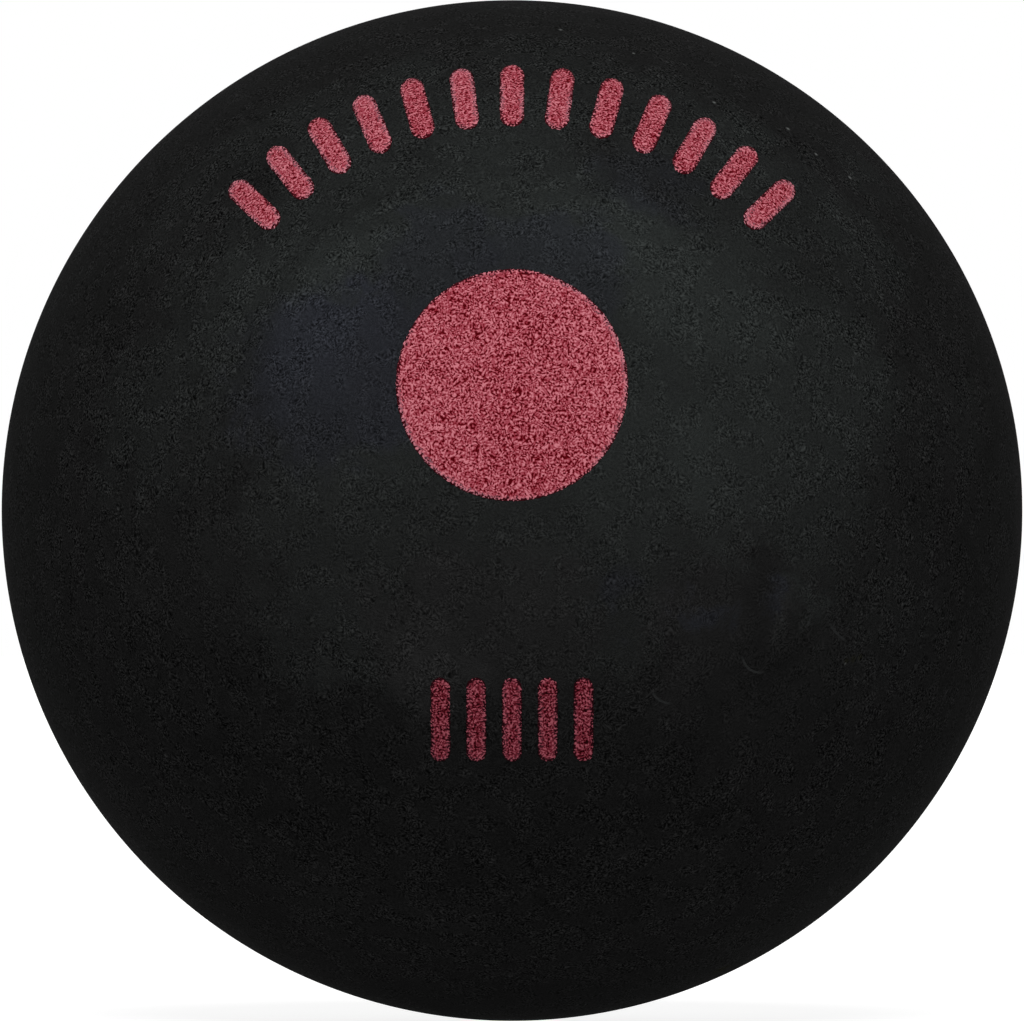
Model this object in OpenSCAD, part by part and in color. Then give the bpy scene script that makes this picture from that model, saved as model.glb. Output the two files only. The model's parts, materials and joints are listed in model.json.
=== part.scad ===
// Squash ball, improver grade: two moulded rubber half shells cemented rim to rim,
// with the marks that are pad printed on the front half.
//
// Origin at the ball's centre. +Z is up, the print faces -Y and the seam lies in the XZ plane.
// All lengths are in millimetres.

/* [Ball] */
// Outside diameter of the finished ball
ball_d = 42.4; // [40:0.1:45]
// Thickness of the rubber wall
wall = 4.4; // [3.6:0.1:5.2]

/* [Seam] */
// Thickness of the cement film between the two rims
cement_t = 0.2; // [0.1:0.05:0.4]
// Width of the bevel buffed on the inner edge of each rim
rim_bevel = 0.7; // [0.4:0.05:1]
// How far the squeezed-out cement stands into the ball
bead_h = 0.35; // [0.2:0.05:0.5]

/* [Print] */
// Thickness of the ink film
ink_t = 0.04; // [0.03:0.01:0.08]
// Diameter of the speed dot
dot_d = 9.4; // [6:0.1:11]
// Width of a bar in the arched row
arch_bar_w = 1; // [0.6:0.05:1.2]
// Length of a bar in the arched row
arch_bar_l = 2.6; // [1.6:0.1:3]
// Number of bars in the arched row
arch_bars_n = 13; // [5:1:15]
// Angle that the arched row covers
arch_span = 92; // [60:1:110]
// Width of a bar in the lower row
low_bar_w = 0.8; // [0.5:0.05:1]
// Length of a bar in the lower row
low_bar_l = 3.4; // [2:0.1:4]
// Distance between neighbouring bars in the lower row
low_pitch = 1.45; // [1.2:0.05:1.8]
// Number of bars in the lower row
low_bars_n = 5; // [1:2:5]

/* [Hidden] */
$fn = 128;

// Overrun of every cutting body past the face that it cuts
over = 0.5;

ball_r = ball_d / 2;
cavity_r = ball_r - wall;
// Each rim stands back from the seam plane by half of the cement film
rim_z = cement_t / 2;
// Radius of the cavity's mouth, in the plane of the rim
mouth_r = sqrt(pow(cavity_r, 2) - pow(rim_z, 2));
// The bead spans both bevels, and its face is an arc through their feet that stands in by bead_h
bead_half = rim_z + rim_bevel;
bead_foot_r = sqrt(pow(cavity_r, 2) - pow(bead_half, 2));
bead_r = (pow(bead_half, 2) + pow(bead_h, 2)) / (2 * bead_h);

// Places of the print on the front half, as shares of the ball's radius from its centre
arch_centre_share = 0.11;
arch_radius_share = 0.69;
dot_centre_share = 0.24;
low_row_share = -0.4;

// One moulded half, pole up and rim down, with its rim parallel to the seam plane
module half_shell() {
    difference() {
        sphere(r = ball_r);
        sphere(r = cavity_r);
        translate([0, 0, rim_z - ball_d])
            cylinder(h = ball_d, r = ball_r + over);
        rim_bevel_cut();
    }
}

// The cone that buffs the bevel on a rim's inner edge, run on past the rim's plane
module rim_bevel_cut() {
    slope = (mouth_r + rim_bevel - bead_foot_r) / rim_bevel;
    translate([0, 0, rim_z - over])
        cylinder(
            h = rim_bevel + over,
            r1 = mouth_r + rim_bevel + slope * over,
            r2 = bead_foot_r
        );
}

// Section of the cement, right of the ball's axis: the film between the rims and the bead in the bevels
module cement_section() {
    translate([mouth_r + rim_bevel, -rim_z])
        square([wall - rim_bevel + over, cement_t]);
    polygon([
        [bead_foot_r, -bead_half],
        [mouth_r + rim_bevel, -rim_z],
        [mouth_r + rim_bevel, rim_z],
        [bead_foot_r, bead_half]
    ]);
    intersection() {
        translate([bead_foot_r - bead_h + bead_r, 0])
            circle(r = bead_r);
        translate([bead_foot_r - bead_h, -bead_half])
            square([bead_h, 2 * bead_half]);
    }
}

// A film of ink that lies on the front of the ball, in the outline of its flat children
module ink_film() {
    intersection() {
        difference() {
            sphere(r = ball_r + ink_t);
            sphere(r = ball_r);
        }
        rotate([90, 0, 0])
            linear_extrude(height = ball_r + ink_t + over)
                children();
    }
}

// A printed bar with round ends, upright and centred
module bar(width, length) {
    end_offset = (length - width) / 2;
    square([width, 2 * end_offset], center = true);
    for (side = [-1, 1])
        translate([0, side * end_offset])
            circle(d = width);
}

module front_half_shell() {
    color([0.12, 0.13, 0.13])
        rotate([90, 0, 0])
            half_shell();
}

module rear_half_shell() {
    color([0.12, 0.13, 0.13])
        rotate([-90, 0, 0])
            half_shell();
}

module seam_cement() {
    color([0.2, 0.19, 0.18])
        rotate([90, 0, 0])
            intersection() {
                rotate_extrude()
                    cement_section();
                sphere(r = ball_r);
            }
}

module speed_dot() {
    color([0.69, 0.27, 0.33])
        ink_film()
            translate([0, dot_centre_share * ball_r])
                circle(d = dot_d);
}

module arched_bars() {
    color([0.69, 0.27, 0.33])
        ink_film()
            translate([0, arch_centre_share * ball_r])
                for (i = [0 : arch_bars_n - 1])
                    rotate(arch_span * (0.5 - i / (arch_bars_n - 1)))
                        translate([0, arch_radius_share * ball_r])
                            bar(arch_bar_w, arch_bar_l);
}

module lower_bars() {
    color([0.69, 0.27, 0.33])
        ink_film()
            for (i = [0 : low_bars_n - 1])
                translate([low_pitch * (i - (low_bars_n - 1) / 2), low_row_share * ball_r])
                    bar(low_bar_w, low_bar_l);
}

front_half_shell();
rear_half_shell();
seam_cement();
speed_dot();
arched_bars();
lower_bars();
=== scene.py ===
"""Squash ball: two buffed rubber half shells, the cement that joins them and the prints on the front half.

All lengths are in metres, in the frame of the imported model. The origin is the ball's centre, +Z is up, the
print faces -Y and the seam lies in the XZ plane. The finishes count in millimetres, and so does any value
whose name ends in mm.
"""

from __future__ import annotations

import json
import logging
import math
from collections.abc import Callable, Iterator
from contextlib import contextmanager
from dataclasses import dataclass
from enum import Enum
from itertools import chain

import bmesh
import bpy
from mathutils import Matrix, Vector

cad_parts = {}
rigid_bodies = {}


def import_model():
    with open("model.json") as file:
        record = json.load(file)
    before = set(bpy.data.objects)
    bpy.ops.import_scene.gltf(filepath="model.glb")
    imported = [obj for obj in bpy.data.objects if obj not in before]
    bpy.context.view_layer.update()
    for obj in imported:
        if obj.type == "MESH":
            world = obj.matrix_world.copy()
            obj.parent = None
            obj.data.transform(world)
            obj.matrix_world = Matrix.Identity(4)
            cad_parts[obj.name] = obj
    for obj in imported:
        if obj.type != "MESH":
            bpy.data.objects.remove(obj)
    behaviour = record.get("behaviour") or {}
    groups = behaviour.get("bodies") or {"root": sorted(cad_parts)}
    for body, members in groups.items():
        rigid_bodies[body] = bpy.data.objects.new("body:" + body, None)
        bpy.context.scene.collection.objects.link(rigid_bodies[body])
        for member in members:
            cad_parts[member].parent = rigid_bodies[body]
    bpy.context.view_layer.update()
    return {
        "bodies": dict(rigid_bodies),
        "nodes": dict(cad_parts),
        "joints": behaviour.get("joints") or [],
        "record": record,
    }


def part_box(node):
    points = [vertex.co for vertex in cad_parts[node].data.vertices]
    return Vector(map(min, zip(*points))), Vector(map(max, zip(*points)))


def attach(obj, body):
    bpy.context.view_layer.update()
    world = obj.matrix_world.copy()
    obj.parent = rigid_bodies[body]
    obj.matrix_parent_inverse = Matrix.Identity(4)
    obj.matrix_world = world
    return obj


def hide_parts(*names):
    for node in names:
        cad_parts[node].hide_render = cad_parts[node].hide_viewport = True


LOG = logging.getLogger("squash_ball")
MM = 0.001
BODY = "root"
BAKE_MAP = "OFBake"
# How near two points count as one, a point counts as in a plane, and a point counts as on a round face
ONE_POINT = 0.0001 * MM
IN_PLANE = 0.001 * MM
ON_ROUND = 0.01 * MM


class Part(Enum):
    """The kinds of mesh element that an operator can be pointed at."""

    VERTS = "verts"
    EDGES = "edges"
    FACES = "faces"


class Half(Enum):
    """The two halves of the ball, with the way that each one's pole points along Y."""

    FRONT = -1
    REAR = 1


# Helpers for modelling


def take_up(piece: bpy.types.Object) -> None:
    """Deselects everything and makes one object the selected and active one.

    Args:
        piece: The object to work on.
    """
    bpy.ops.object.select_all(action="DESELECT")
    piece.select_set(True)
    bpy.context.view_layer.objects.active = piece


@contextmanager
def edit_mode(piece: bpy.types.Object) -> Iterator[None]:
    """Opens one object in edit mode, with all of it selected, and leaves edit mode at the end.

    Args:
        piece: The object to edit.

    Returns:
        A context in which bpy.ops.mesh operators act on the object.
    """
    take_up(piece)
    bpy.ops.object.mode_set(mode="EDIT")
    bpy.ops.mesh.select_all(action="SELECT")
    try:
        yield
    finally:
        bpy.ops.object.mode_set(mode="OBJECT")


def pick(piece: bpy.types.Object, part: Part, test: Callable[..., bool]) -> None:
    """Selects the elements that pass a test, and nothing else. The object is in edit mode.

    Args:
        piece: The object in edit mode.
        part: The kind of element to select.
        test: Says of one bmesh element whether it is wanted.
    """
    bpy.context.tool_settings.mesh_select_mode = [part is kind for kind in Part]
    mesh = bmesh.from_edit_mesh(piece.data)
    for element in chain(mesh.faces, mesh.edges, mesh.verts):
        element.select = False
    for element in getattr(mesh, part.value):
        if test(element):
            element.select_set(True)
    mesh.select_flush_mode()
    bmesh.update_edit_mesh(piece.data)


def finish_with(piece: bpy.types.Object, kind: str, **settings: object) -> None:
    """Adds a modifier to an object and applies it.

    Args:
        piece: The object to change.
        kind: The modifier's type, such as "SOLIDIFY".
        settings: The modifier's properties.
    """
    take_up(piece)
    modifier = piece.modifiers.new(kind.lower(), kind)
    for name, value in settings.items():
        setattr(modifier, name, value)
    bpy.ops.object.modifier_apply(modifier=modifier.name)


def join(pieces: list[bpy.types.Object]) -> bpy.types.Object:
    """Joins several objects into the first of them.

    Args:
        pieces: The objects, all with meshes of their own.

    Returns:
        The first object, which now holds every mesh.
    """
    take_up(pieces[0])
    for piece in pieces[1:]:
        piece.select_set(True)
    if len(pieces) > 1:
        bpy.ops.object.join()
    return pieces[0]


def settle(piece: bpy.types.Object) -> None:
    """Puts an object's place, turn and scale into its mesh, so that the object sits at the origin.

    Args:
        piece: The object to settle.
    """
    take_up(piece)
    bpy.ops.object.transform_apply(location=True, rotation=True, scale=True)


def copy_of(piece: bpy.types.Object, name: str) -> bpy.types.Object:
    """Copies an object together with its mesh.

    Args:
        piece: The object to copy.
        name: The copy's name.

    Returns:
        The copy.
    """
    twin = piece.copy()
    twin.data = piece.data.copy()
    twin.name = twin.data.name = name
    bpy.context.scene.collection.objects.link(twin)
    return twin


def smooth(piece: bpy.types.Object, up_to_deg: float) -> None:
    """Shades an object smooth, apart from its sharp edges.

    Args:
        piece: The object to shade.
        up_to_deg: The largest angle between two faces whose edge is smooth.
    """
    take_up(piece)
    bpy.ops.object.shade_smooth_by_angle(angle=math.radians(up_to_deg))


# Helpers for materials


def linear(hex_colour: str) -> tuple[float, float, float, float]:
    """Turns an sRGB hex colour into the linear values that a shader takes.

    Args:
        hex_colour: Such as "#26282a".

    Returns:
        Red, green, blue and an alpha of 1.
    """
    channels = [int(hex_colour[i : i + 2], 16) / 255 for i in (1, 3, 5)]
    red, green, blue = (c / 12.92 if c <= 0.04045 else ((c + 0.055) / 1.055) ** 2.4 for c in channels)
    return red, green, blue, 1.0


def add_node(
    tree: bpy.types.NodeTree,
    kind: str,
    inputs: dict[str | int, object] | None = None,
    **settings: object,
) -> bpy.types.Node:
    """Adds a node, sets its properties, and fills or links its inputs.

    Args:
        tree: The node tree that gets the node.
        kind: The node's type, such as "ShaderNodeTexNoise".
        inputs: Values, sockets or nodes, by the input's name or its number among the ones in use. A node
            stands for its first output in use.
        settings: The node's properties, such as operation="MULTIPLY".

    Returns:
        The new node.
    """
    node = tree.nodes.new(kind)
    for name, value in settings.items():
        setattr(node, name, value)
    in_use = [socket for socket in node.inputs if socket.enabled]
    for key, value in (inputs or {}).items():
        socket = in_use[key] if isinstance(key, int) else next(s for s in in_use if s.name == key)
        if isinstance(value, bpy.types.Node):
            value = next(output for output in value.outputs if output.enabled)
        if isinstance(value, bpy.types.NodeSocket):
            tree.links.new(value, socket)
        else:
            socket.default_value = value
    return node


def clear_tree(owner: bpy.types.Material | bpy.types.World) -> bpy.types.NodeTree:
    """Turns on the nodes of a material or a world, and removes the ones that it starts with.

    Args:
        owner: The material or the world.

    Returns:
        Its node tree, empty.
    """
    owner.use_nodes = True
    owner.node_tree.nodes.clear()
    return owner.node_tree


def drifted(
    tree: bpy.types.NodeTree, place: bpy.types.Node, noise: bpy.types.Node, drift_mm: float
) -> bpy.types.Node:
    """Lets a noise push a pattern's points about, so that its lines wander and its outlines fray.

    Args:
        tree: The material's node tree.
        place: Gives the point on the piece, in millimetres.
        noise: The noise, whose three channels push along X, Y and Z.
        drift_mm: How far a channel pushes from its lowest value to its highest.

    Returns:
        The point at which the pattern is read instead.
    """
    push = add_node(tree, "ShaderNodeVectorMath", {0: noise.outputs["Color"], 1: (-0.5,) * 3})
    return add_node(
        tree,
        "ShaderNodeVectorMath",
        {0: push, 1: (drift_mm,) * 3, 2: place},
        operation="MULTIPLY_ADD",
    )


# Finishes


@dataclass(frozen=True)
class Spot:
    """A round place on the ball's outside, in millimetres, as it lies in the view from the front."""

    x: float
    z: float
    reach: float
    core: float = 0.0
    strength: float = 1.0
    half: Half = Half.FRONT

    def centre(self, ball_radius: float) -> tuple[float, float, float]:
        """The point of the outside that has the spot's x and z, on a ball with a radius in millimetres."""
        return self.x, self.half.value * math.sqrt(ball_radius**2 - self.x**2 - self.z**2), self.z


@dataclass(frozen=True)
class Scuff:
    """A hairline scuff, bent to an arc, in millimetres, as it lies in the view from the front."""

    x: float
    z: float
    length: float
    bend_radius: float
    bend_deg: float
    width: float = 0.1

    def stretch(self) -> Spot:
        """The place that the scuff's length fills, round its own middle."""
        return Spot(self.x, self.z, self.length / 2, self.length / 4)

    def bend(self) -> Spot:
        """Finds the middle of the circle that the scuff bends round.

        Returns:
            The circle, as a spot that reaches as far as the bend.
        """
        turn = math.radians(self.bend_deg)
        out, up = self.bend_radius * math.cos(turn), self.bend_radius * math.sin(turn)
        return Spot(self.x + out, self.z + up, self.bend_radius)


@dataclass(frozen=True)
class Nap:
    """The nap that buffing leaves on rubber: short ridges that lie side by side in swirls, in millimetres.

    Most of the real ridges are too fine to show, so they are drawn as coarse as they need to be.
    """

    ridge_mm: float
    swirl_mm: float = 0.4
    drift_mm: float = 0.3

    def lay(self, tree: bpy.types.NodeTree, place: bpy.types.Node) -> bpy.types.Node:
        """Adds the noise of the nap.

        Args:
            tree: The material's node tree.
            place: Gives the point on the piece, in millimetres.

        Returns:
            A height of 0 to 1 that is 0.5 on average.
        """
        swirl = add_node(
            tree, "ShaderNodeTexNoise", {"Vector": place, "Scale": 1 / self.swirl_mm, "Detail": 0.0}
        )
        swirled = drifted(tree, place, swirl, self.drift_mm)
        return add_node(
            tree, "ShaderNodeTexNoise", {"Vector": swirled, "Scale": 1 / self.ridge_mm, "Detail": 0.0}
        )


@dataclass(frozen=True)
class Skin:
    """What a finish paints: the nodes that give its colour, its roughness and its relief."""

    colour: bpy.types.Node
    roughness: bpy.types.Node
    height: bpy.types.Node


@dataclass(frozen=True)
class Finish:
    """What the finishes of the ball share: a dielectric of low gloss with a fine relief."""

    name: str
    ior: float
    specular: float
    relief_mm: float

    def make(self) -> bpy.types.Material:
        """Builds the material.

        Returns:
            The material, with the finish's own colour, roughness and relief.
        """
        material = bpy.data.materials.new(self.name)
        tree = clear_tree(material)
        in_metres = add_node(tree, "ShaderNodeTexCoord").outputs["Object"]
        place = add_node(tree, "ShaderNodeMapping", {"Vector": in_metres, "Scale": (1 / MM,) * 3})
        skin = self.paint(tree, place)
        relief = add_node(tree, "ShaderNodeBump", {"Distance": self.relief_mm * MM, "Height": skin.height})
        surface = add_node(
            tree,
            "ShaderNodeBsdfPrincipled",
            {
                "Base Color": skin.colour,
                "Roughness": skin.roughness,
                "IOR": self.ior,
                "Specular IOR Level": self.specular,
                "Normal": relief,
            },
        )
        add_node(tree, "ShaderNodeOutputMaterial", {"Surface": surface})
        return material

    def paint(self, tree: bpy.types.NodeTree, place: bpy.types.Node) -> Skin:
        """Adds the nodes that are the finish's own."""
        raise NotImplementedError


@dataclass(frozen=True)
class BuffedButylRubber(Finish):
    """Butyl rubber filled with carbon black, moulded and then buffed on a drum.

    The carbon black leaves it nearly black, and the buffing gives a dull nap of fine grain. A little grey
    dust lies everywhere; thinner dust on some patches low on the front paints the shade that falls there.
    Wax that has bloomed to the surface lies as a thin haze that is greenish where it is even, bluish where
    fingers have rubbed it, and grey where dust has stuck to it. On the upper front the haze is brighter,
    as a painted sheen of the key light's broad highlight.
    """

    name: str = "buffed_butyl_rubber"
    # Butyl rubber has an index near 1.51, and the nap leaves almost none of its gloss
    ior: float = 1.51
    specular: float = 0.006
    relief_mm: float = 0.03
    ball_radius_mm: float = 21.2
    black: str = "#171717"
    dust: str = "#2b2b2b"
    # The colour of the wax haze, which also paints the sheen of the key light on the upper front
    haze_and_sheen: str = "#2a2d2c"
    rubbed: str = "#2a2c32"
    nick: str = "#626463"
    scuffed: str = "#282929"
    # What is left of the light where something oily and yellowish has soaked in
    stain: str = "#fffde0"
    nap: Nap = Nap(0.08)
    # The nap stands in some patches of about a millimetre, and is combed flat between them
    combed_mm: float = 0.9
    nap_contrast: tuple[float, float] = (0.65, 2.4)
    # The values of the patches' noise at which the nap is combed flat, and at which it stands
    combed_span: tuple[float, float] = (0.4, 0.57)
    # Handling has polished the nap in the middle of each half
    polish: tuple[Spot, ...] = (
        Spot(1.0, 3.0, 21.0, 5.0, 0.45),
        Spot(10.5, -6.0, 6.5, 2.0, 0.36),
        Spot(0.0, -5.5, 4.0, 1.0, 0.1),
        Spot(-12.0, -3.0, 5.5, 1.0, 0.3),
        Spot(-2.0, 1.0, 19.0, 6.0, 0.45, Half.REAR),
    )
    # The clouds of the dust are 1 to 3 mm across, and fray the outlines of the haze as well
    cloud_mm: float = 2.2
    cloud_drift_mm: float = 6.6
    cloud_roughness: float = 0.62
    cloud_twist: float = 0.3
    cloud_span: tuple[float, float] = (0.25, 0.75)
    cloud_dust: tuple[float, float] = (0.0, 0.26)
    # The dust dulls the rubber further
    dull_span: tuple[float, float] = (0.3, 0.7)
    roughness: tuple[float, float] = (0.94, 1.0)
    # Patches where less dust lies, most of them low on the front, where the darker rubber is painted shade
    wiped_and_shaded: tuple[Spot, ...] = (
        Spot(0.5, -11.5, 10.0, 5.0, 0.07),
        Spot(-9.5, -9.5, 7.0, 3.0, 0.09),
        Spot(-14.5, -9.0, 4.5, 1.5, 0.04),
        Spot(-12.0, -16.0, 4.5, 1.5, 0.07),
        Spot(10.0, -6.6, 1.8, 0.5, 0.1),
    )
    # Wax haze, brightest on the upper front down to a line: there it is also the painted sheen of the key
    # light's broad highlight
    blooms_and_sheen: tuple[Spot, ...] = (
        Spot(0.0, 3.5, 12.5, 10.0, 0.23),
        Spot(0.0, 9.0, 11.0, 5.0, 0.22),
        Spot(-9.0, 8.0, 6.0, 1.5, 0.42),
        Spot(-7.5, 12.5, 5.0, 1.5, 0.28),
        Spot(-3.0, 12.5, 4.5, 1.0, 0.12),
        Spot(2.5, 11.5, 4.5, 1.0, 0.28),
        Spot(7.5, 9.5, 5.5, 2.0, 0.4),
        Spot(-6.5, 2.5, 4.5, 1.0, 0.16),
        Spot(2.0, -2.0, 4.0, 1.0, 0.08),
        Spot(5.5, 2.0, 5.0, 2.0, 0.22),
        Spot(9.0, 2.0, 4.0, 2.0, 0.28),
        Spot(13.0, 5.5, 5.5, 2.0, 0.42),
        Spot(12.5, 0.0, 3.5, 1.0, 0.3),
        Spot(11.0, 13.0, 5.0, 1.5, 0.26),
        Spot(7.5, 15.5, 5.0, 1.5, 0.3),
        Spot(-5.0, 16.5, 5.0, 1.5, 0.3),
        Spot(0.0, 15.5, 4.5, 1.0, 0.36),
        Spot(-10.0, 15.5, 3.5, 1.0, 0.16),
        Spot(14.5, 10.5, 4.0, 1.0, 0.28),
        Spot(10.8, 9.6, 3.5, 1.0, 0.12),
        Spot(9.0, 7.0, 4.0, 1.0, 0.08),
        Spot(4.5, 12.8, 3.5, 1.0, 0.1),
        Spot(14.5, 13.9, 3.0, 0.5, 0.22),
        Spot(-13.7, 12.2, 4.0, 1.0, 0.12),
        Spot(13.5, 2.5, 6.0, 2.0, 0.08),
        Spot(18.0, 4.0, 4.0, 1.0, 0.1),
        Spot(15.5, -4.5, 5.0, 2.0, 0.08),
        Spot(-11.0, -1.5, 3.5, 1.0, 0.08),
        Spot(2.0, 18.0, 4.5, 1.5, 0.18),
        Spot(-3.5, -20.2, 4.5, 1.5, 0.03),
        Spot(-12.5, 9.0, 4.0, 1.0, 0.22),
        Spot(-14.5, 4.0, 5.5, 1.0, 0.26),
        Spot(-8.5, -5.5, 3.5, 1.0, 0.16),
        Spot(-6.0, -7.0, 1.9, 0.4, 0.26),
        Spot(-3.5, -7.0, 2.8, 1.0, 0.32),
        Spot(8.0, -5.0, 2.5, 0.5, 0.16),
        Spot(7.4, -4.4, 1.5, 0.3, 0.1),
        Spot(10.7, -3.5, 1.6, 0.3, 0.12),
        Spot(12.0, -3.8, 2.5, 0.5, 0.14),
        Spot(11.7, -3.8, 1.8, 0.3, 0.4),
        Spot(-6.0, 8.0, 15.0, 4.0, 0.6, Half.REAR),
        Spot(9.0, -2.0, 11.0, 2.0, 0.4, Half.REAR),
    )
    rubs: tuple[Spot, ...] = (
        Spot(-8.0, 5.4, 5.0, 2.5),
        Spot(-5.0, 6.0, 4.0, 2.0),
        Spot(-3.0, 10.5, 3.2, 1.4, 0.6),
        Spot(1.5, 9.5, 3.8, 2.2, 0.6),
        Spot(5.5, 13.5, 3.0, 0.8, 0.7),
        Spot(4.0, -3.2, 1.6, 0.4),
        Spot(7.4, -4.4, 1.4, 0.3),
        Spot(10.7, -3.5, 1.2, 0.3),
        Spot(5.0, 3.0, 5.0, 2.0, 1.0, Half.REAR),
    )
    dusty: tuple[Spot, ...] = (
        Spot(-1.5, -6.0, 6.0, 3.5),
        Spot(8.5, -5.2, 4.5, 2.5),
    )
    stains: tuple[Spot, ...] = (
        Spot(13.65, -6.14, 0.2, 0.05),
        Spot(13.93, -6.06, 0.22, 0.06),
        Spot(14.22, -5.98, 0.2, 0.05),
        Spot(8.65, -19.0, 0.7, 0.2),
    )
    nicks: tuple[Spot, ...] = (
        Spot(13.6, -6.25, 0.1, 0.0, 0.35),
        Spot(2.0, 19.8, 0.12),
        Spot(5.0, 18.8, 0.1),
        Spot(8.3, 16.75, 0.12),
        Spot(11.35, 15.7, 0.14),
        Spot(12.5, 14.65, 0.12),
        Spot(13.9, 13.7, 0.14),
    )
    scuffs: tuple[Scuff, ...] = (
        Scuff(9.66, -6.45, 1.7, 1.0, 55.0),
        Scuff(6.0, -7.7, 1.3, 1.1, 55.0),
        Scuff(13.27, -5.04, 1.5, 3.0, 58.0),
    )

    def paint(self, tree: bpy.types.NodeTree, place: bpy.types.Node) -> Skin:
        """Paints the dust, thinned as painted shade, and the haze with its painted sheen over the black, then
        the stains, the nap, the scuffs and the nicks.

        Args:
            tree: The material's node tree.
            place: Gives the point on the piece, in millimetres.

        Returns:
            The colour, roughness and relief.
        """
        clouds = add_node(
            tree,
            "ShaderNodeTexNoise",
            {
                "Vector": place,
                "Scale": 1 / self.cloud_mm,
                "Detail": 5.0,
                "Roughness": self.cloud_roughness,
                "Distortion": self.cloud_twist,
            },
        )
        shifted = drifted(tree, place, clouds, self.cloud_drift_mm)
        clear, thick = self.cloud_span
        least, most = self.cloud_dust
        settled = add_node(
            tree,
            "ShaderNodeMapRange",
            {"Value": clouds, "From Min": clear, "From Max": thick, "To Min": least, "To Max": most},
        )
        # Less dust on the wiped patches, which paints the shade low on the front
        left = add_node(
            tree,
            "ShaderNodeMath",
            {0: settled, 1: self.mark(tree, shifted, self.wiped_and_shaded)},
            operation="SUBTRACT",
        )
        # The colour of the wax haze and its painted sheen, greyer where dusty and bluer where rubbed
        wax_and_sheen = linear(self.haze_and_sheen)
        for spots, colour in ((self.dusty, self.dust), (self.rubs, self.rubbed)):
            wax_and_sheen = add_node(
                tree,
                "ShaderNodeMix",
                {"Factor": self.mark(tree, shifted, spots), "A": wax_and_sheen, "B": linear(colour)},
                data_type="RGBA",
            )
        height = self.nap.lay(tree, place)
        painted = linear(self.black)
        for factor, colour, blend in (
            (left, linear(self.dust), "MIX"),
            # The wax haze, with the painted sheen of the key light
            (self.mark(tree, shifted, self.blooms_and_sheen), wax_and_sheen, "MIX"),
            (self.mark(tree, place, self.stains), linear(self.stain), "MULTIPLY"),
            (1.0, self.shade_nap(tree, place, height), "MULTIPLY"),
            (self.draw_scuffs(tree, place), linear(self.scuffed), "MIX"),
            (self.mark(tree, place, self.nicks), linear(self.nick), "MIX"),
        ):
            painted = add_node(
                tree,
                "ShaderNodeMix",
                {"Factor": factor, "A": painted, "B": colour},
                data_type="RGBA",
                blend_type=blend,
            )
        sharp, dull = self.dull_span
        smoothest, roughest = self.roughness
        roughness = add_node(
            tree,
            "ShaderNodeMapRange",
            {"Value": clouds, "From Min": sharp, "From Max": dull, "To Min": smoothest, "To Max": roughest},
        )
        return Skin(painted, roughness, height)

    def shade_nap(
        self, tree: bpy.types.NodeTree, place: bpy.types.Node, height: bpy.types.Node
    ) -> bpy.types.Node:
        """Turns the nap into light and dark, strongly where it stands, weakly where it is combed or polished.

        Args:
            tree: The material's node tree.
            place: Gives the point on the piece, in millimetres.
            height: The noise of the nap.

        Returns:
            A factor that is about 1 on average.
        """
        combed = add_node(
            tree, "ShaderNodeTexNoise", {"Vector": place, "Scale": 1 / self.combed_mm, "Detail": 1.0}
        )
        flat, up = self.combed_span
        weak, strong = self.nap_contrast
        contrast = add_node(
            tree,
            "ShaderNodeMapRange",
            {"Value": combed, "From Min": flat, "From Max": up, "To Min": weak, "To Max": strong},
        )
        unpolished = add_node(
            tree, "ShaderNodeMath", {0: 1.0, 1: self.mark(tree, place, self.polish)}, operation="SUBTRACT"
        )
        kept = add_node(tree, "ShaderNodeMath", {0: contrast, 1: unpolished}, operation="MULTIPLY")
        rise = add_node(tree, "ShaderNodeMath", {0: height, 1: 0.5}, operation="SUBTRACT")
        # Half of the swing, squared, because a square looks as strong in the light as in the dark
        root = add_node(tree, "ShaderNodeMath", {0: kept, 1: rise, 2: 1.0}, operation="MULTIPLY_ADD")
        return add_node(tree, "ShaderNodeMath", {0: root, 1: 2.0}, operation="POWER")

    def mark(
        self, tree: bpy.types.NodeTree, place: bpy.types.Node, spots: tuple[Spot, ...]
    ) -> bpy.types.Node:
        """Adds a mask of round spots.

        Args:
            tree: The material's node tree.
            place: Gives the point on the piece, in millimetres.
            spots: The spots.

        Returns:
            The sum of all spots, each with its full strength in its core and none at its reach.
        """
        mask = None
        for spot in spots:
            distance = add_node(
                tree,
                "ShaderNodeVectorMath",
                {0: place, 1: spot.centre(self.ball_radius_mm)},
                operation="DISTANCE",
            )
            fade = add_node(
                tree,
                "ShaderNodeMapRange",
                {"Value": distance, "From Min": spot.reach, "From Max": spot.core, "To Max": spot.strength},
                interpolation_type="SMOOTHSTEP",
            )
            mask = fade if mask is None else add_node(tree, "ShaderNodeMath", {0: mask, 1: fade})
        return mask

    def draw_scuffs(self, tree: bpy.types.NodeTree, place: bpy.types.Node) -> bpy.types.Node:
        """Adds a mask of the hairline scuffs.

        Args:
            tree: The material's node tree.
            place: Gives the point on the piece, in millimetres.

        Returns:
            A factor that is 1 along each scuff's middle, and fades out at its sides and ends.
        """
        mask = None
        for scuff in self.scuffs:
            stretch = scuff.stretch()
            bend = scuff.bend().centre(self.ball_radius_mm)
            # The distance goes straight through the ball, where the bend's radius is seen from the front
            off = math.dist(bend, stretch.centre(self.ball_radius_mm))
            from_bend = add_node(tree, "ShaderNodeVectorMath", {0: place, 1: bend}, operation="DISTANCE")
            on_arc = add_node(
                tree, "ShaderNodeMath", {0: from_bend, 1: off, 2: scuff.width / 2}, operation="COMPARE"
            )
            fade = self.mark(tree, place, (stretch,))
            line = add_node(tree, "ShaderNodeMath", {0: on_arc, 1: fade}, operation="MULTIPLY")
            mask = line if mask is None else add_node(tree, "ShaderNodeMath", {0: mask, 1: line})
        return mask


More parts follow.
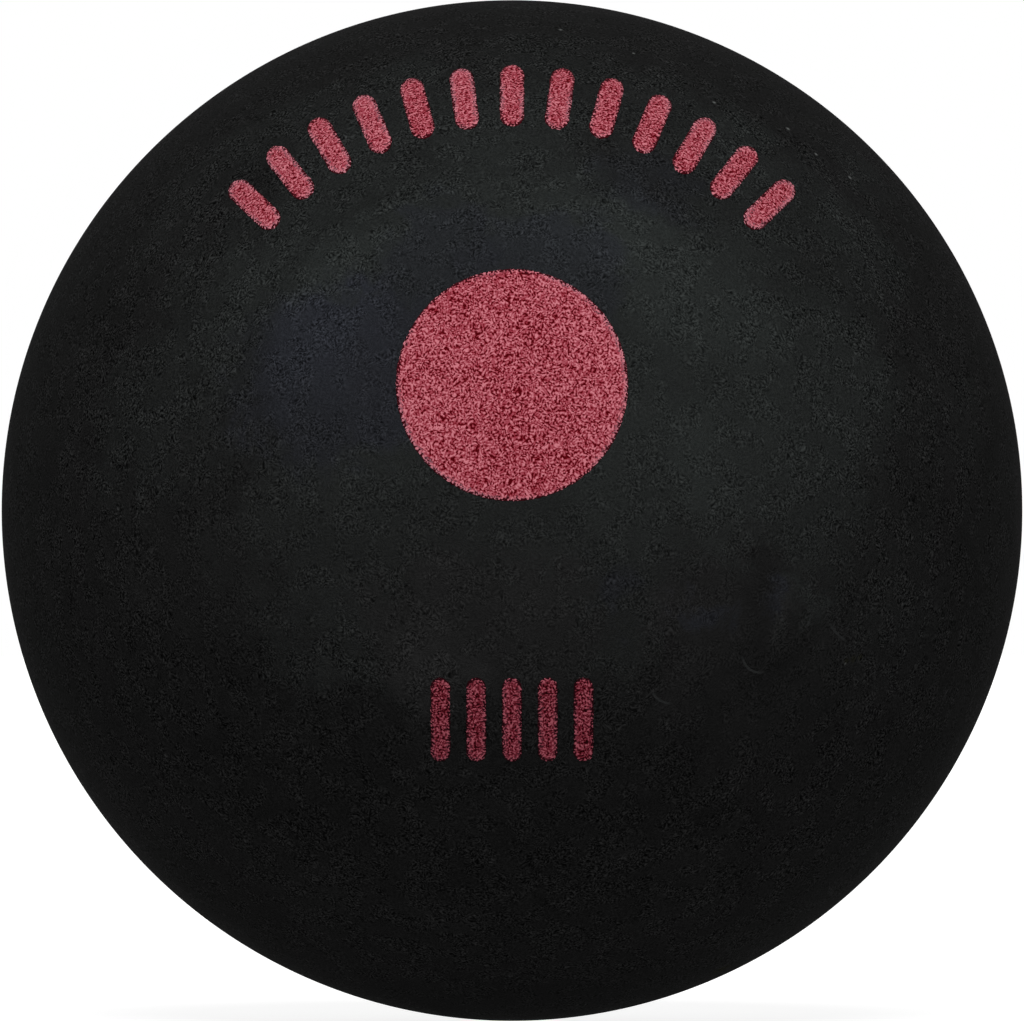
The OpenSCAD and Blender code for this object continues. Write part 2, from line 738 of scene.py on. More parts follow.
@dataclass(frozen=True)
class RubberCement(Finish):
    """Rubber cement, cured in the press: the same rubber, but smoother, a little browner and glossier."""

    name: str = "cured_rubber_cement"
    ior: float = 1.52
    specular: float = 0.04
    relief_mm: float = 0.02
    brown_black: str = "#1e1c1b"
    ripple_mm: float = 0.5
    ripple_shade: tuple[float, float] = (0.8, 1.2)
    roughness: tuple[float, float] = (0.6, 0.75)

    def paint(self, tree: bpy.types.NodeTree, place: bpy.types.Node) -> Skin:
        """Paints the ripples that the cement dried in.

        Args:
            tree: The material's node tree.
            place: Gives the point on the piece, in millimetres.

        Returns:
            The colour, roughness and relief.
        """
        ripple = add_node(
            tree, "ShaderNodeTexNoise", {"Vector": place, "Scale": 1 / self.ripple_mm, "Detail": 3.0}
        )
        shade, roughness = (
            add_node(tree, "ShaderNodeMapRange", {"Value": ripple, "To Min": low, "To Max": high})
            for low, high in (self.ripple_shade, self.roughness)
        )
        colour = add_node(
            tree,
            "ShaderNodeMix",
            {"Factor": 1.0, "A": linear(self.brown_black), "B": shade},
            data_type="RGBA",
            blend_type="MULTIPLY",
        )
        return Skin(colour, roughness, ripple)


@dataclass(frozen=True)
class PadPrintInk(Finish):
    """Red pad-printing ink, pressed on with a silicone pad and dried.

    The film bridges the nap and starves over its deepest grooves, so it is pitted with dark worm-like
    marks, and its crests are paler. Where the pad pressed hard, the ink is squeezed into a greyish ridge
    along the edge. A thin dark fringe bleeds out past it.
    """

    name: str = "pad_print_ink"
    ior: float = 1.5
    specular: float = 0.03
    relief_mm: float = 0.015
    # From the deepest pit to the highest crest, with each tone's place in the noise
    tones: tuple[tuple[float, str], ...] = (
        (0.3, "#4e0006"),
        (0.36, "#630510"),
        (0.42, "#8e2a37"),
        (0.5, "#9f4451"),
        (0.58, "#a64f5a"),
        (0.68, "#cc7983"),
    )
    ridge: str = "#bb8592"
    fringe: str = "#3a060e"
    # The pits follow the nap below the film
    nap: Nap = Nap(0.08, drift_mm=0.22)
    # The pad's pressure varies over a few millimetres
    pressure_mm: float = 2.5
    pressure_strength: float = 0.1
    # The pressures at which the ridge starts and is at its strongest, and how much it then hides
    squeeze_span: tuple[float, float] = (0.42, 0.58)
    squeeze_strength: float = 0.5
    fringe_mm: float = 0.1
    ridge_mm: float = 0.16
    ragged_mm: float = 0.4
    # In the pits, and on the crests
    roughness: tuple[float, float] = (0.85, 0.6)

    def paint(self, tree: bpy.types.NodeTree, place: bpy.types.Node) -> Skin:
        """Paints the pits and crests, then the ridge and the fringe along the edges.

        Args:
            tree: The material's node tree.
            place: Gives the point on the piece, in millimetres.

        Returns:
            The colour, roughness and relief.
        """
        pits = self.nap.lay(tree, place)
        pressure = add_node(
            tree, "ShaderNodeTexNoise", {"Vector": place, "Scale": 1 / self.pressure_mm, "Detail": 1.0}
        )
        uneven = add_node(tree, "ShaderNodeMath", {0: pressure, 1: 0.5}, operation="SUBTRACT")
        level = add_node(
            tree, "ShaderNodeMath", {0: uneven, 1: self.pressure_strength, 2: pits}, operation="MULTIPLY_ADD"
        )
        toned = add_node(tree, "ShaderNodeValToRGB", {"Fac": level})
        stops = toned.color_ramp.elements
        for height, _ in self.tones[1:-1]:
            stops.new(height)
        for stop, (height, tone) in zip(stops, self.tones):
            stop.position, stop.color = height, linear(tone)
        outline = add_node(tree, "ShaderNodeAttribute", attribute_name=InkFilm.DEPTH_MM).outputs["Fac"]
        off_middle = add_node(tree, "ShaderNodeMath", {0: pits, 1: 0.5}, operation="SUBTRACT")
        depth = add_node(
            tree, "ShaderNodeMath", {0: off_middle, 1: self.ragged_mm, 2: outline}, operation="MULTIPLY_ADD"
        )
        start, full = self.squeeze_span
        squeezed = add_node(
            tree,
            "ShaderNodeMapRange",
            {"Value": pressure, "From Min": start, "From Max": full, "To Max": self.squeeze_strength},
        )
        near_edge = add_node(
            tree,
            "ShaderNodeMapRange",
            {"Value": depth, "From Min": self.ridge_mm, "From Max": self.fringe_mm},
        )
        heap = add_node(tree, "ShaderNodeMath", {0: squeezed, 1: near_edge}, operation="MULTIPLY")
        ridged = add_node(
            tree, "ShaderNodeMix", {"Factor": heap, "A": toned, "B": linear(self.ridge)}, data_type="RGBA"
        )
        bleed = add_node(
            tree,
            "ShaderNodeMapRange",
            {"Value": depth, "From Min": self.fringe_mm, "From Max": self.fringe_mm / 2},
        )
        fringed = add_node(
            tree, "ShaderNodeMix", {"Factor": bleed, "A": ridged, "B": linear(self.fringe)}, data_type="RGBA"
        )
        in_pits, on_crests = self.roughness
        roughness = add_node(
            tree, "ShaderNodeMapRange", {"Value": pits, "To Min": in_pits, "To Max": on_crests}
        )
        return Skin(fringed, roughness, pits)


@dataclass(frozen=True)
class ShadedPadPrintInk(PadPrintInk):
    """The same ink, darker all through: painted shade for the row of bars low on the front, where less light
    falls.
    """

    name: str = "shaded_pad_print_ink"
    # Each tone, the ridge and the fringe are darker than the ink's own, as painted shade
    tones: tuple[tuple[float, str], ...] = (
        (0.3, "#1e0002"),
        (0.36, "#3a030a"),
        (0.42, "#59111c"),
        (0.5, "#722431"),
        (0.58, "#7b313d"),
        (0.68, "#a75662"),
    )
    ridge: str = "#753d49"
    fringe: str = "#220409"


@dataclass(frozen=True)
class PaleFloor:
    """A pale studio floor, lit a little from within. It looks white and keeps the shadow."""

    grey: str = "#a0a0a0"
    glow_as_background: float = 0.88
    glow_as_light: float = 0.25

    def make(self) -> bpy.types.Material:
        """Builds the material.

        Returns:
            The floor material.
        """
        material = bpy.data.materials.new("pale_floor")
        tree = clear_tree(material)
        strength = add_node(
            tree,
            "ShaderNodeMapRange",
            {
                "Value": seen_as_background(tree),
                "To Min": self.glow_as_light,
                "To Max": self.glow_as_background,
            },
        )
        glow = add_node(tree, "ShaderNodeEmission", {"Color": linear("#ffffff"), "Strength": strength})
        board = add_node(tree, "ShaderNodeBsdfDiffuse", {"Color": linear(self.grey)})
        surface = add_node(tree, "ShaderNodeAddShader", {0: board, 1: glow})
        add_node(tree, "ShaderNodeOutputMaterial", {"Surface": surface})
        return material


def seen_as_background(tree: bpy.types.NodeTree) -> bpy.types.Node:
    """Adds the test for rays that see the background: from the camera, in a reflection or through glass.

    Args:
        tree: The node tree of the floor or of the world.

    Returns:
        A factor that is 1 for such rays and 0 for the others.
    """
    path = add_node(tree, "ShaderNodeLightPath")
    direct_or_mirrored = add_node(
        tree,
        "ShaderNodeMath",
        {0: path.outputs["Is Camera Ray"], 1: path.outputs["Is Glossy Ray"]},
        operation="MAXIMUM",
    )
    return add_node(
        tree,
        "ShaderNodeMath",
        {0: direct_or_mirrored, 1: path.outputs["Is Transmission Ray"]},
        operation="MAXIMUM",
    )


# The ball


@dataclass
class BallSizes:
    """The sizes that the pieces share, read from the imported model."""

    radius: float
    cavity_radius: float
    rim_setback: float
    bead_half: float

    @classmethod
    def from_frame(cls, frame: dict) -> BallSizes:
        """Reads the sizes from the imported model.


        Returns:
            The sizes in metres.
        """
        low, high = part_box("front_half_shell")
        corners = [vertex.co.length for vertex in frame["nodes"]["front_half_shell"].data.vertices]
        return cls(
            radius=(high.z - low.z) / 2,
            cavity_radius=min(corners),
            rim_setback=-high.y,
            bead_half=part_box("seam_cement")[1].y,
        )

    @property
    def bevel(self) -> float:
        """Width of the bevel on a rim's inner edge."""
        return self.bead_half - self.rim_setback

    @property
    def mouth_radius(self) -> float:
        """Radius of the cavity in the plane of a rim."""
        return math.sqrt(self.cavity_radius**2 - self.rim_setback**2)

    @property
    def bead_foot_radius(self) -> float:
        """Radius at which a bevel ends on the cavity's wall."""
        return math.sqrt(self.cavity_radius**2 - self.bead_half**2)

    @property
    def rim_outer_radius(self) -> float:
        """Radius at which a rim ends on the outside."""
        return math.sqrt(self.radius**2 - self.rim_setback**2)


@dataclass
class SubAssembly:
    """What the sub-assemblies share: the ball's sizes, a finish, and the way that a piece is dressed."""

    sizes: BallSizes
    finish: bpy.types.Material

    def dress(self, piece: bpy.types.Object, node: str, slot: str) -> None:
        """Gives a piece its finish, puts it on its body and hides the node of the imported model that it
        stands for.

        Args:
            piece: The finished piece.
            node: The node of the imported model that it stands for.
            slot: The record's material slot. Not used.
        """
        piece.data.materials.clear()
        piece.data.materials.append(self.finish)
        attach(piece, BODY)
        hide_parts(node)


@dataclass
class HalfShells(SubAssembly):
    """The two mouldings of the ball, each with its buffed outside, flat rim and bevelled inner edge."""

    outer_levels: int = 7
    inner_levels: int = 6
    rim_round: float = 0.05 * MM
    rim_round_steps: int = 2
    smooth_deg: float = 30.0
    # Buffing leaves the outside very slightly uneven, by hundredths of a millimetre
    swell_depth: float = 0.02 * MM
    swell_size: float = 2.4 * MM
    # Where the two islands of the flat map lie, and how large the hemispheres are drawn in it
    outside_middle: tuple[float, float] = (0.41, 0.41)
    outside_scale: float = 0.34
    inside_middle: tuple[float, float] = (0.87, 0.87)
    inside_scale: float = 0.12

    OUTSIDE = "outside"

    def build(self) -> tuple[bpy.types.Object, bpy.types.Object]:
        """Models one moulding, copies it and turns the copy round, then buffs and dresses both.

        Returns:
            The front half, which is printed, and the rear half.
        """
        front = self.mould("front_shell_rubber")
        rear = copy_of(front, "rear_shell_rubber")
        rear.rotation_euler.z = math.pi
        settle(rear)
        for shell, node in ((front, "front_half_shell"), (rear, "rear_half_shell")):
            self.buff(shell)
            smooth(shell, self.smooth_deg)
            self.dress(shell, node, "rubber")
        return front, rear

    def mould(self, name: str) -> bpy.types.Object:
        """Models the half shell that faces -Y, as it comes from the press.

        Args:
            name: The piece's name.

        Returns:
            The half shell as one closed mesh.
        """
        sizes = self.sizes
        outside = self.round_blank(sizes.radius, self.outer_levels, name)
        self.open_at(outside, -sizes.rim_setback)
        inside = self.round_blank(sizes.cavity_radius, self.inner_levels, "cavity")
        self.open_at(inside, -sizes.bead_half)
        flare = (sizes.mouth_radius + sizes.bevel) / sizes.bead_foot_radius
        with edit_mode(inside):
            bpy.ops.mesh.flip_normals()
            pick(inside, Part.EDGES, lambda edge: edge.is_boundary)
            bpy.ops.mesh.extrude_region_move(TRANSFORM_OT_translate={"value": (0, sizes.bevel, 0)})
            bpy.ops.transform.resize(value=(flare, 1, flare), center_override=(0, 0, 0))
        shell = join([outside, inside])
        with edit_mode(shell):
            pick(shell, Part.EDGES, lambda edge: edge.is_boundary)
            bpy.ops.mesh.bridge_edge_loops()
            pick(shell, Part.EDGES, self.on_outer_rim)
            bpy.ops.mesh.bevel(offset=self.rim_round, segments=self.rim_round_steps)
            bpy.ops.mesh.select_all(action="SELECT")
            bpy.ops.mesh.normals_make_consistent(inside=False)
        self.lay_out_map(shell)
        return shell

    def round_blank(self, radius: float, levels: int, name: str) -> bpy.types.Object:
        """Models a sphere with even square faces, from a cube.

        Args:
            radius: The sphere's radius.
            levels: How often the cube's faces are split in four.
            name: The object's name.

        Returns:
            The sphere.
        """
        bpy.ops.object.select_all(action="DESELECT")
        bpy.ops.mesh.primitive_cube_add(size=2 * radius)
        blank = bpy.context.object
        blank.name = blank.data.name = name
        finish_with(blank, "SUBSURF", levels=levels, render_levels=levels)
        finish_with(
            blank, "CAST", cast_type="SPHERE", factor=1.0, radius=0.0, use_radius_as_size=False, size=radius
        )
        return blank

    def open_at(self, piece: bpy.types.Object, plane_y: float) -> None:
        """Cuts away all of a sphere that lies behind a plane square to Y.

        Args:
            piece: The sphere.
            plane_y: Where the plane crosses the Y axis.
        """
        with edit_mode(piece):
            bpy.ops.mesh.bisect(
                plane_co=(0, plane_y, 0),
                plane_no=(0, 1, 0),
                clear_outer=True,
                use_fill=False,
                threshold=ONE_POINT,
            )

    def on_outer_rim(self, edge: bmesh.types.BMEdge) -> bool:
        """Says whether an edge lies where the outside meets the rim.

        Args:
            edge: An edge of the moulding, before the round is put on.

        Returns:
            True if both of its ends lie there.
        """
        sizes = self.sizes
        return all(
            abs(abs(vert.co.y) - sizes.rim_setback) < IN_PLANE
            and abs(vert.co.xz.length - sizes.rim_outer_radius) < ON_ROUND
            for vert in edge.verts
        )

    def lay_out_map(self, shell: bpy.types.Object) -> None:
        """Lays the shell out flat for baking: the outside with the rim round it, the inside as a small disc.

        Args:
            shell: The half shell that faces -Y.
        """
        sizes = self.sizes
        inside_of = sizes.mouth_radius + sizes.bevel
        outer_map, inner_map = [], []
        for vertex in shell.data.vertices:
            across = vertex.co.xz.length
            # An equal-area map of the hemisphere, which ends at 1
            reach = math.sqrt(max(0.0, 1 + vertex.co.y / vertex.co.length))
            ring = 1 + (sizes.radius - across) / sizes.radius
            on_rim = -vertex.co.y < sizes.rim_setback + IN_PLANE
            way = vertex.co.xz / max(across, IN_PLANE)
            for flat, middle, scale, out in (
                (outer_map, self.outside_middle, self.outside_scale, ring if on_rim else reach),
                (inner_map, self.inside_middle, self.inside_scale, reach),
            ):
                flat.append((middle[0] + scale * out * way.x, middle[1] + scale * out * way.y))
        coordinates = []
        for face in shell.data.polygons:
            flat = inner_map if face.center.length < inside_of - ON_ROUND else outer_map
            for index in face.vertices:
                coordinates.extend(flat[index])
        shell.data.uv_layers.new(name=BAKE_MAP).data.foreach_set("uv", coordinates)

    def buff(self, shell: bpy.types.Object) -> None:
        """Presses the outside in a little in soft patches, away from the rim.

        Args:
            shell: The half shell, in its place.
        """
        sizes = self.sizes
        group = shell.vertex_groups.new(name=self.OUTSIDE)
        for vertex in shell.data.vertices:
            if vertex.co.length > sizes.radius - ON_ROUND:
                away = (abs(vertex.co.y) - sizes.bead_half) / sizes.bead_half
                group.add([vertex.index], max(0.0, min(1.0, away)), "REPLACE")
        swell = bpy.data.textures.new("buffing_swell", "CLOUDS")
        swell.noise_scale = self.swell_size
        finish_with(
            shell,
            "DISPLACE",
            texture=swell,
            texture_coords="LOCAL",
            direction="NORMAL",
            vertex_group=self.OUTSIDE,
            strength=self.swell_depth,
            mid_level=1.0,
        )


@dataclass
class SeamCement(SubAssembly):
    """The cured cement: a film between the rims, and a bead in their bevels that stands into the ball."""

    bead_height: float = 0.35 * MM
    bead_steps: int = 8
    # The bead's last edge keeps this share of its width, so that its end is a narrow face
    tip_share: float = 0.02
    turn_steps: int = 256
    weld: float = 0.0005 * MM
    smooth_deg: float = 30.0
    # The cement shrinks as it cures, so the film ends a little below the outside
    shrinkage: float = 0.03 * MM

    def build(self) -> bpy.types.Object:
        """Models the ring of cement and dresses it.

        Returns:
            The ring as one closed mesh.
        """
        ring = self.start_section()
        with edit_mode(ring):
            self.add_bead(ring)
            self.spin_outline()
        smooth(ring, self.smooth_deg)
        self.dress(ring, "seam_cement", "cement")
        return ring

    def start_section(self) -> bpy.types.Object:
        """Models the film's section, a flat strip to the right of the Y axis.

        Returns:
            The strip.
        """
        film_in = self.sizes.mouth_radius + self.sizes.bevel
        film_out = self.sizes.rim_outer_radius - self.shrinkage
        bpy.ops.object.select_all(action="DESELECT")
        bpy.ops.mesh.primitive_plane_add(size=1.0)
        strip = bpy.context.object
        strip.name = strip.data.name = "cement_ring"
        strip.scale = (film_out - film_in, 2 * self.sizes.rim_setback, 1)
        strip.location = ((film_in + film_out) / 2, 0, 0)
        settle(strip)
        return strip

    def add_bead(self, ring: bpy.types.Object) -> None:
        """Adds the bead to the section: it widens over the bevels and ends in a rounded face.

        Args:
            ring: The flat section in edit mode.
        """
        sizes = self.sizes
        self.widen(ring, sizes.bead_foot_radius, sizes.bead_half)
        for step in range(1, self.bead_steps + 1):
            turn = math.pi / 2 * step / self.bead_steps
            height, share = self.bead_height * math.sin(turn), max(math.cos(turn), self.tip_share)
            self.widen(ring, sizes.bead_foot_radius - height, share * sizes.bead_half)

    def spin_outline(self) -> None:
        """Keeps only the outline of the section in edit mode, and spins it round the Y axis."""
        bpy.ops.mesh.select_all(action="SELECT")
        bpy.ops.mesh.dissolve_faces()
        bpy.ops.mesh.select_all(action="SELECT")
        bpy.ops.mesh.delete(type="ONLY_FACE")
        bpy.ops.mesh.select_all(action="SELECT")
        bpy.ops.mesh.spin(steps=self.turn_steps, angle=2 * math.pi, center=(0, 0, 0), axis=(0, 1, 0))
        bpy.ops.mesh.select_all(action="SELECT")
        bpy.ops.mesh.remove_doubles(threshold=self.weld)
        bpy.ops.mesh.normals_make_consistent(inside=False)

    def widen(self, ring: bpy.types.Object, radius: float, half_width: float) -> None:
        """Extrudes the innermost edge of the section further in, and sets its width.

        Args:
            ring: The flat section in edit mode.
            radius: Where the new edge lies.
            half_width: Half of the new edge's length along Y.
        """
        inmost = min(vert.co.x for vert in bmesh.from_edit_mesh(ring.data).verts)
        pick(ring, Part.EDGES, lambda edge: all(abs(v.co.x - inmost) < ONE_POINT for v in edge.verts))
        ends = [vert.co.y for vert in bmesh.from_edit_mesh(ring.data).verts if vert.select]
        bpy.ops.mesh.extrude_region_move(TRANSFORM_OT_translate={"value": (radius - inmost, 0, 0)})
        bpy.ops.transform.resize(value=(1, half_width / max(ends), 1), center_override=(0, 0, 0))


@dataclass
class InkFilm(SubAssembly):
    """What every print shares: strokes of ink on the outside of the front half, each with a ragged edge."""

    shell: bpy.types.Object
    thickness: float = 0.035 * MM
    # How thick the film still is along its edge
    edge_thickness_share: float = 0.35
    # How far the points of the outline stray, and how unlike each other their ways are
    raggedness: float = 0.022 * MM
    unevenness: float = 0.6
    point_spacing: float = 0.12 * MM
    fewest_points: int = 24
    smooth_deg: float = 50.0
    # How far each ring of faces lies in from the outline
    rings: tuple[float, ...] = (0.05 * MM, 0.12 * MM, 0.2 * MM)
    # The seed of the first stroke's ragged edge. Each further stroke takes the next one
    seed: int = 1

    DEPTH_MM = "depth_mm"
    FULL_FILM = "full_film"

    def stroke(self, width: float, length: float) -> bpy.types.Object:
        """Models one flat stroke with round ends, upright in the XZ plane and centred on the origin.

        Args:
            width: The stroke's width.
            length: Its length over the round ends. A dot is as long as it is wide.

        Returns:
            The stroke, facing -Y.
        """
        # A multiple of 4, so that all four quarters of the ring are alike
        around = max(self.fewest_points, 4 * round(math.pi * width / self.point_spacing / 4))
        bpy.ops.object.select_all(action="DESELECT")
        bpy.ops.mesh.primitive_circle_add(
            vertices=around, radius=width / 2, rotation=(math.pi / 2, 0, 0), fill_type="NOTHING"
        )
        stroke = bpy.context.object
        settle(stroke)
        with edit_mode(stroke):
            bpy.ops.transform.rotate(value=math.pi / around, orient_axis="Y", center_override=(0, 0, 0))
            if length > width:
                self.lengthen(stroke, length - width)
            bpy.ops.mesh.select_all(action="SELECT")
            bpy.ops.mesh.edge_face_add()
            if bmesh.from_edit_mesh(stroke.data).faces[:][0].normal.y > 0:
                bpy.ops.mesh.flip_normals()
            self.ring_in(stroke, width, length)
        self.note_depth(stroke, width, length)
        return stroke

    def lengthen(self, stroke: bpy.types.Object, extra: float) -> None:
        """Draws the two halves of a ring of points apart along Z, and splits the straight sides between them.

        Args:
            stroke: The ring in edit mode.
            extra: How far the halves are drawn apart.
        """
        for side in (-1, 1):
            pick(stroke, Part.VERTS, lambda vert, side=side: vert.co.z * side > 0)
            bpy.ops.transform.translate(value=(0, 0, side * extra / 2))
        pick(stroke, Part.EDGES, lambda edge: edge.calc_length() > extra)
        bpy.ops.mesh.subdivide(number_cuts=round(extra / self.point_spacing) - 1)

    def ring_in(self, stroke: bpy.types.Object, width: float, length: float) -> None:
        """Insets the selected face ring by ring, and fills the middle with a grid of squares.

        Args:
            stroke: The stroke in edit mode.
            width: The stroke's width.
            length: The stroke's length.
        """
        reach = 0.0
        for depth in self.rings:
            bpy.ops.mesh.inset(thickness=depth - reach, use_even_offset=True)
            reach = depth
        bpy.ops.mesh.delete(type="ONLY_FACE")
        pick(
            stroke,
            Part.EDGES,
            lambda edge: edge.is_boundary
            and all(self.depth(vert.co, width, length) > self.rings[0] for vert in edge.verts),
        )
        bpy.ops.mesh.fill_grid()

    def depth(self, point: Vector, width: float, length: float) -> float:
        """How deep in from a flat stroke's outline a point of it lies, for the stroke's width and length."""
        beyond = max(0.0, abs(point.z) - (length - width) / 2)
        return max(0.0, width / 2 - math.hypot(point.x, beyond))

    def note_depth(self, stroke: bpy.types.Object, width: float, length: float) -> None:
        """Stores how deep in from the outline each point lies, in millimetres, for the ridge and the fringe.

        Args:
            stroke: The flat stroke.
            width: The stroke's width.
            length: The stroke's length.
        """
        depths = [self.depth(vertex.co, width, length) for vertex in stroke.data.vertices]
        full = stroke.vertex_groups.new(name=self.FULL_FILM)
        for index, depth in enumerate(depths):
            full.add([index], min(1.0, depth / self.rings[0]), "REPLACE")
        note = stroke.data.attributes.new(self.DEPTH_MM, "FLOAT", "POINT")
        note.data.foreach_set("value", [depth / MM for depth in depths])

    def place(self, stroke: bpy.types.Object, where: Matrix, index: int) -> bpy.types.Object:
        """Copies a stroke, roughens the copy's outline and puts it in its place.

        Args:
            stroke: The stroke to copy.
            where: The copy's place and turn.
            index: The copy's number, which picks its own ragged edge.

        Returns:
            The copy.
        """
        twin = copy_of(stroke, f"stroke_{index}")
        with edit_mode(twin):
            pick(twin, Part.VERTS, lambda vert: vert.is_boundary)
            bpy.ops.transform.vertex_random(
                offset=self.raggedness, uniform=self.unevenness, normal=0.0, seed=self.seed + index
            )
        twin.matrix_world = where
        settle(twin)
        return twin

    def lay(self, stroke: bpy.types.Object, places: list[Matrix], node: str) -> bpy.types.Object:
        """Lays copies of a stroke on the front of the ball, gives them the film's thickness and dresses them.

        Args:
            stroke: The flat stroke, which is used up.
            places: Where each copy goes in the XZ plane.
            node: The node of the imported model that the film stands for.

        Returns:
            The film, closed all round.
        """
        film = join([self.place(stroke, where, index) for index, where in enumerate(places)])
        bpy.data.objects.remove(stroke)
        film.name = film.data.name = f"{node}_ink"
        film.location = (0, -2 * self.sizes.radius, 0)
        settle(film)
        finish_with(
            film,
            "SHRINKWRAP",
            target=self.shell,
            wrap_method="PROJECT",
            use_project_y=True,
            use_negative_direction=False,
            use_positive_direction=True,
        )
        finish_with(
            film,
            "SOLIDIFY",
            thickness=self.thickness,
            offset=1.0,
            vertex_group=self.FULL_FILM,
            thickness_vertex_group=self.edge_thickness_share,
        )
        smooth(film, self.smooth_deg)
        self.dress(film, node, "ink")
        return film


@dataclass
class SpeedDot(InkFilm):
    """The round dot that stands for the ball's speed."""

    diameter: float = 9.4 * MM
    # How far up the dot lies, as a share of the ball's radius
    centre_share: float = 0.24
    seed: int = 3

    def build(self) -> bpy.types.Object:
        """Models the dot's film of ink and dresses it."""
        middle = Matrix.Translation((0, 0, self.centre_share * self.sizes.radius))
        return self.lay(self.stroke(self.diameter, self.diameter), [middle], "speed_dot")


@dataclass
class ArchedBars(InkFilm):
    """The row of plain bars that stands on an arc above the dot."""

    bar_width: float = 1.0 * MM
    bar_length: float = 2.6 * MM
    count: int = 13
    span_deg: float = 92.0
    # How far up the arc's centre lies, and the arc's radius, as shares of the ball's radius
    centre_share: float = 0.11
    arc_share: float = 0.69
    seed: int = 20

    def build(self) -> bpy.types.Object:
        """Models the bars and dresses them.

        Returns:
            The bars' film of ink.
        """
        centre = Matrix.Translation((0, 0, self.centre_share * self.sizes.radius))
        out = Matrix.Translation((0, 0, self.arc_share * self.sizes.radius))
        span = math.radians(self.span_deg)
        turns = [span * (index / (self.count - 1) - 0.5) for index in range(self.count)]
        places = [centre @ Matrix.Rotation(turn, 4, "Y") @ out for turn in turns]
        return self.lay(self.stroke(self.bar_width, self.bar_length), places, "arched_bars")


@dataclass
class LowerBars(InkFilm):
    """The short row of plain upright bars below the dot."""

    bar_width: float = 0.8 * MM
    bar_length: float = 3.4 * MM
    count: int = 5
    pitch: float = 1.45 * MM
    # How far up the row lies, as a share of the ball's radius
    row_share: float = -0.4
    seed: int = 50

    def build(self) -> bpy.types.Object:
        """Models the bars and dresses them.

        Returns:
            The bars' film of ink.
        """
        height = self.row_share * self.sizes.radius
        offsets = [self.pitch * (index - (self.count - 1) / 2) for index in range(self.count)]
        places = [Matrix.Translation((offset, 0, height)) for offset in offsets]
        return self.lay(self.stroke(self.bar_width, self.bar_length), places, "lower_bars")


# The studio


@dataclass(frozen=True)
class SoftLamp:
    """One soft lamp that shines on the ball from far off."""

    name: str
    azimuth_deg: float
    elevation_deg: float
    level: float
    spread_deg: float = 40.0
    colour: str = "#ffffff"

    def place(self) -> None:
        """Adds the lamp. Azimuth 0 is in front of the print and 90 is to the right of it."""
        azimuth, elevation = math.radians(self.azimuth_deg), math.radians(self.elevation_deg)
        towards = Vector(
            (
                math.sin(azimuth) * math.cos(elevation),
                -math.cos(azimuth) * math.cos(elevation),
                math.sin(elevation),
            )
        )
        data = bpy.data.lights.new(self.name, "SUN")
        # At a strength of pi, a surface that faces the lamp shows its colour as it is written
        data.energy = math.pi * self.level
        data.angle = math.radians(self.spread_deg)
        data.color = linear(self.colour)[:3]
        lamp = bpy.data.objects.new(self.name, data)
        lamp.rotation_mode = "QUATERNION"
        lamp.rotation_quaternion = towards.to_track_quat("Z", "Y")
        bpy.context.scene.collection.objects.link(lamp)


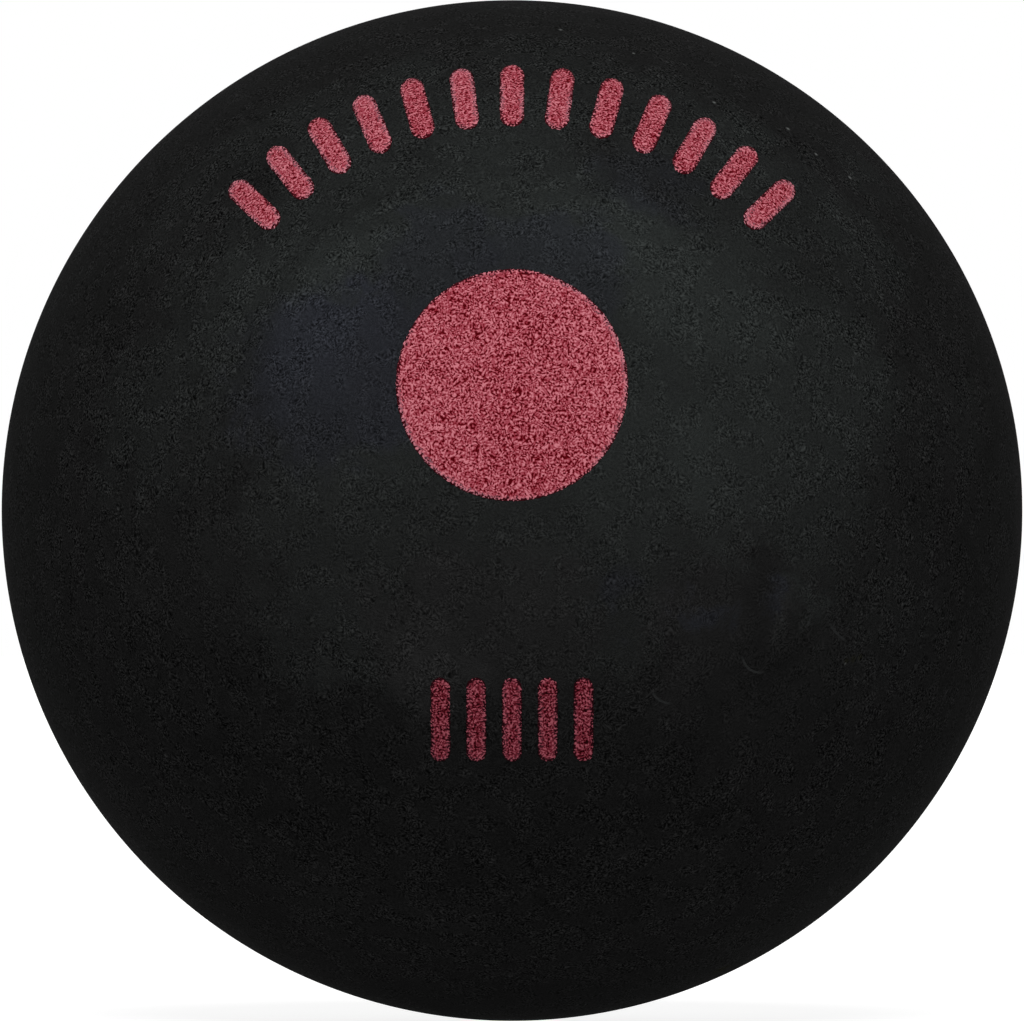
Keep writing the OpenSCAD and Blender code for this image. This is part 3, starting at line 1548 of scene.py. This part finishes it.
@dataclass
class Studio:
    """The floor, the world, the lamps and the camera of the photograph."""

    sizes: BallSizes
    floor_side: float = 4.0
    ambient: float = 0.1
    camera_distance: float = 0.8
    sensor_mm: float = 36.0
    clip_start: float = 0.01
    clip_end: float = 100.0
    image_width_px: int = 1024
    # The ball touches all four sides of the photograph
    ball_radius_px: float = 510.4
    lamps: tuple[SoftLamp, ...] = (
        SoftLamp("key", 0, 50, 0.75),
        SoftLamp("left_front_fill", -30, 20, 0.065),
        SoftLamp("right_front_fill", 30, 20, 0.065),
        SoftLamp("left_back_fill", -140, 30, 0.08),
        SoftLamp("right_back_fill", 140, 30, 0.08),
        SoftLamp("rear_fill", 180, 0, 0.4, 5.0),
    )

    def build(self) -> None:
        """Adds the floor, world, lamps and camera, and sets the view transform."""
        self.lay_floor()
        self.light_world()
        for lamp in self.lamps:
            lamp.place()
        self.set_camera()
        bpy.context.scene.view_settings.view_transform = "Standard"

    def lay_floor(self) -> None:
        """Adds the floor that the ball rests on."""
        bpy.ops.object.select_all(action="DESELECT")
        bpy.ops.mesh.primitive_plane_add(size=self.floor_side, location=(0, 0, -self.sizes.radius))
        floor = bpy.context.object
        floor.name = floor.data.name = "studio_floor"
        floor.data.materials.append(PaleFloor().make())

    def light_world(self) -> None:
        """Makes a world that looks white and gives an even, low light."""
        world = bpy.data.worlds.new("white_studio")
        bpy.context.scene.world = world
        tree = clear_tree(world)
        even = add_node(tree, "ShaderNodeBackground", {"Color": linear("#ffffff"), "Strength": self.ambient})
        white = add_node(tree, "ShaderNodeBackground", {"Color": linear("#ffffff"), "Strength": 1.0})
        shown = add_node(tree, "ShaderNodeMixShader", {0: seen_as_background(tree), 1: even, 2: white})
        add_node(tree, "ShaderNodeOutputWorld", {"Surface": shown})

    def set_camera(self) -> None:
        """Adds the level camera, with the lens that gives the ball its size in the photograph."""
        distance, radius = self.camera_distance, self.sizes.radius
        focal_px = self.ball_radius_px * math.sqrt(distance**2 - radius**2) / radius
        data = bpy.data.cameras.new("photo_camera")
        data.sensor_width = self.sensor_mm
        data.lens = focal_px * self.sensor_mm / self.image_width_px
        data.clip_start, data.clip_end = self.clip_start, self.clip_end
        camera = bpy.data.objects.new("photo_camera", data)
        camera.location = (0, -distance, 0)
        camera.rotation_euler = (math.pi / 2, 0, 0)
        bpy.context.scene.collection.objects.link(camera)
        bpy.context.scene.camera = camera


def main() -> None:
    """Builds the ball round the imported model, and the studio round the ball."""
    logging.basicConfig(level=logging.INFO, format="%(message)s")
    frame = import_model()
    sizes = BallSizes.from_frame(frame)
    rubber = BuffedButylRubber(ball_radius_mm=sizes.radius / MM).make()
    ink = PadPrintInk().make()

    front, rear = HalfShells(sizes, rubber).build()
    cement = SeamCement(sizes, RubberCement().make()).build()
    dot = SpeedDot(sizes, ink, front).build()
    arch = ArchedBars(sizes, ink, front).build()
    # The lower row takes the darker ink, which paints the shade low on the front
    lower_row = LowerBars(sizes, ShadedPadPrintInk().make(), front).build()
    for piece in (front, rear, cement, dot, arch, lower_row):
        LOG.info("%s: %d faces", piece.name, len(piece.data.polygons))

    Studio(sizes).build()


if __name__ == "__main__":
    main()
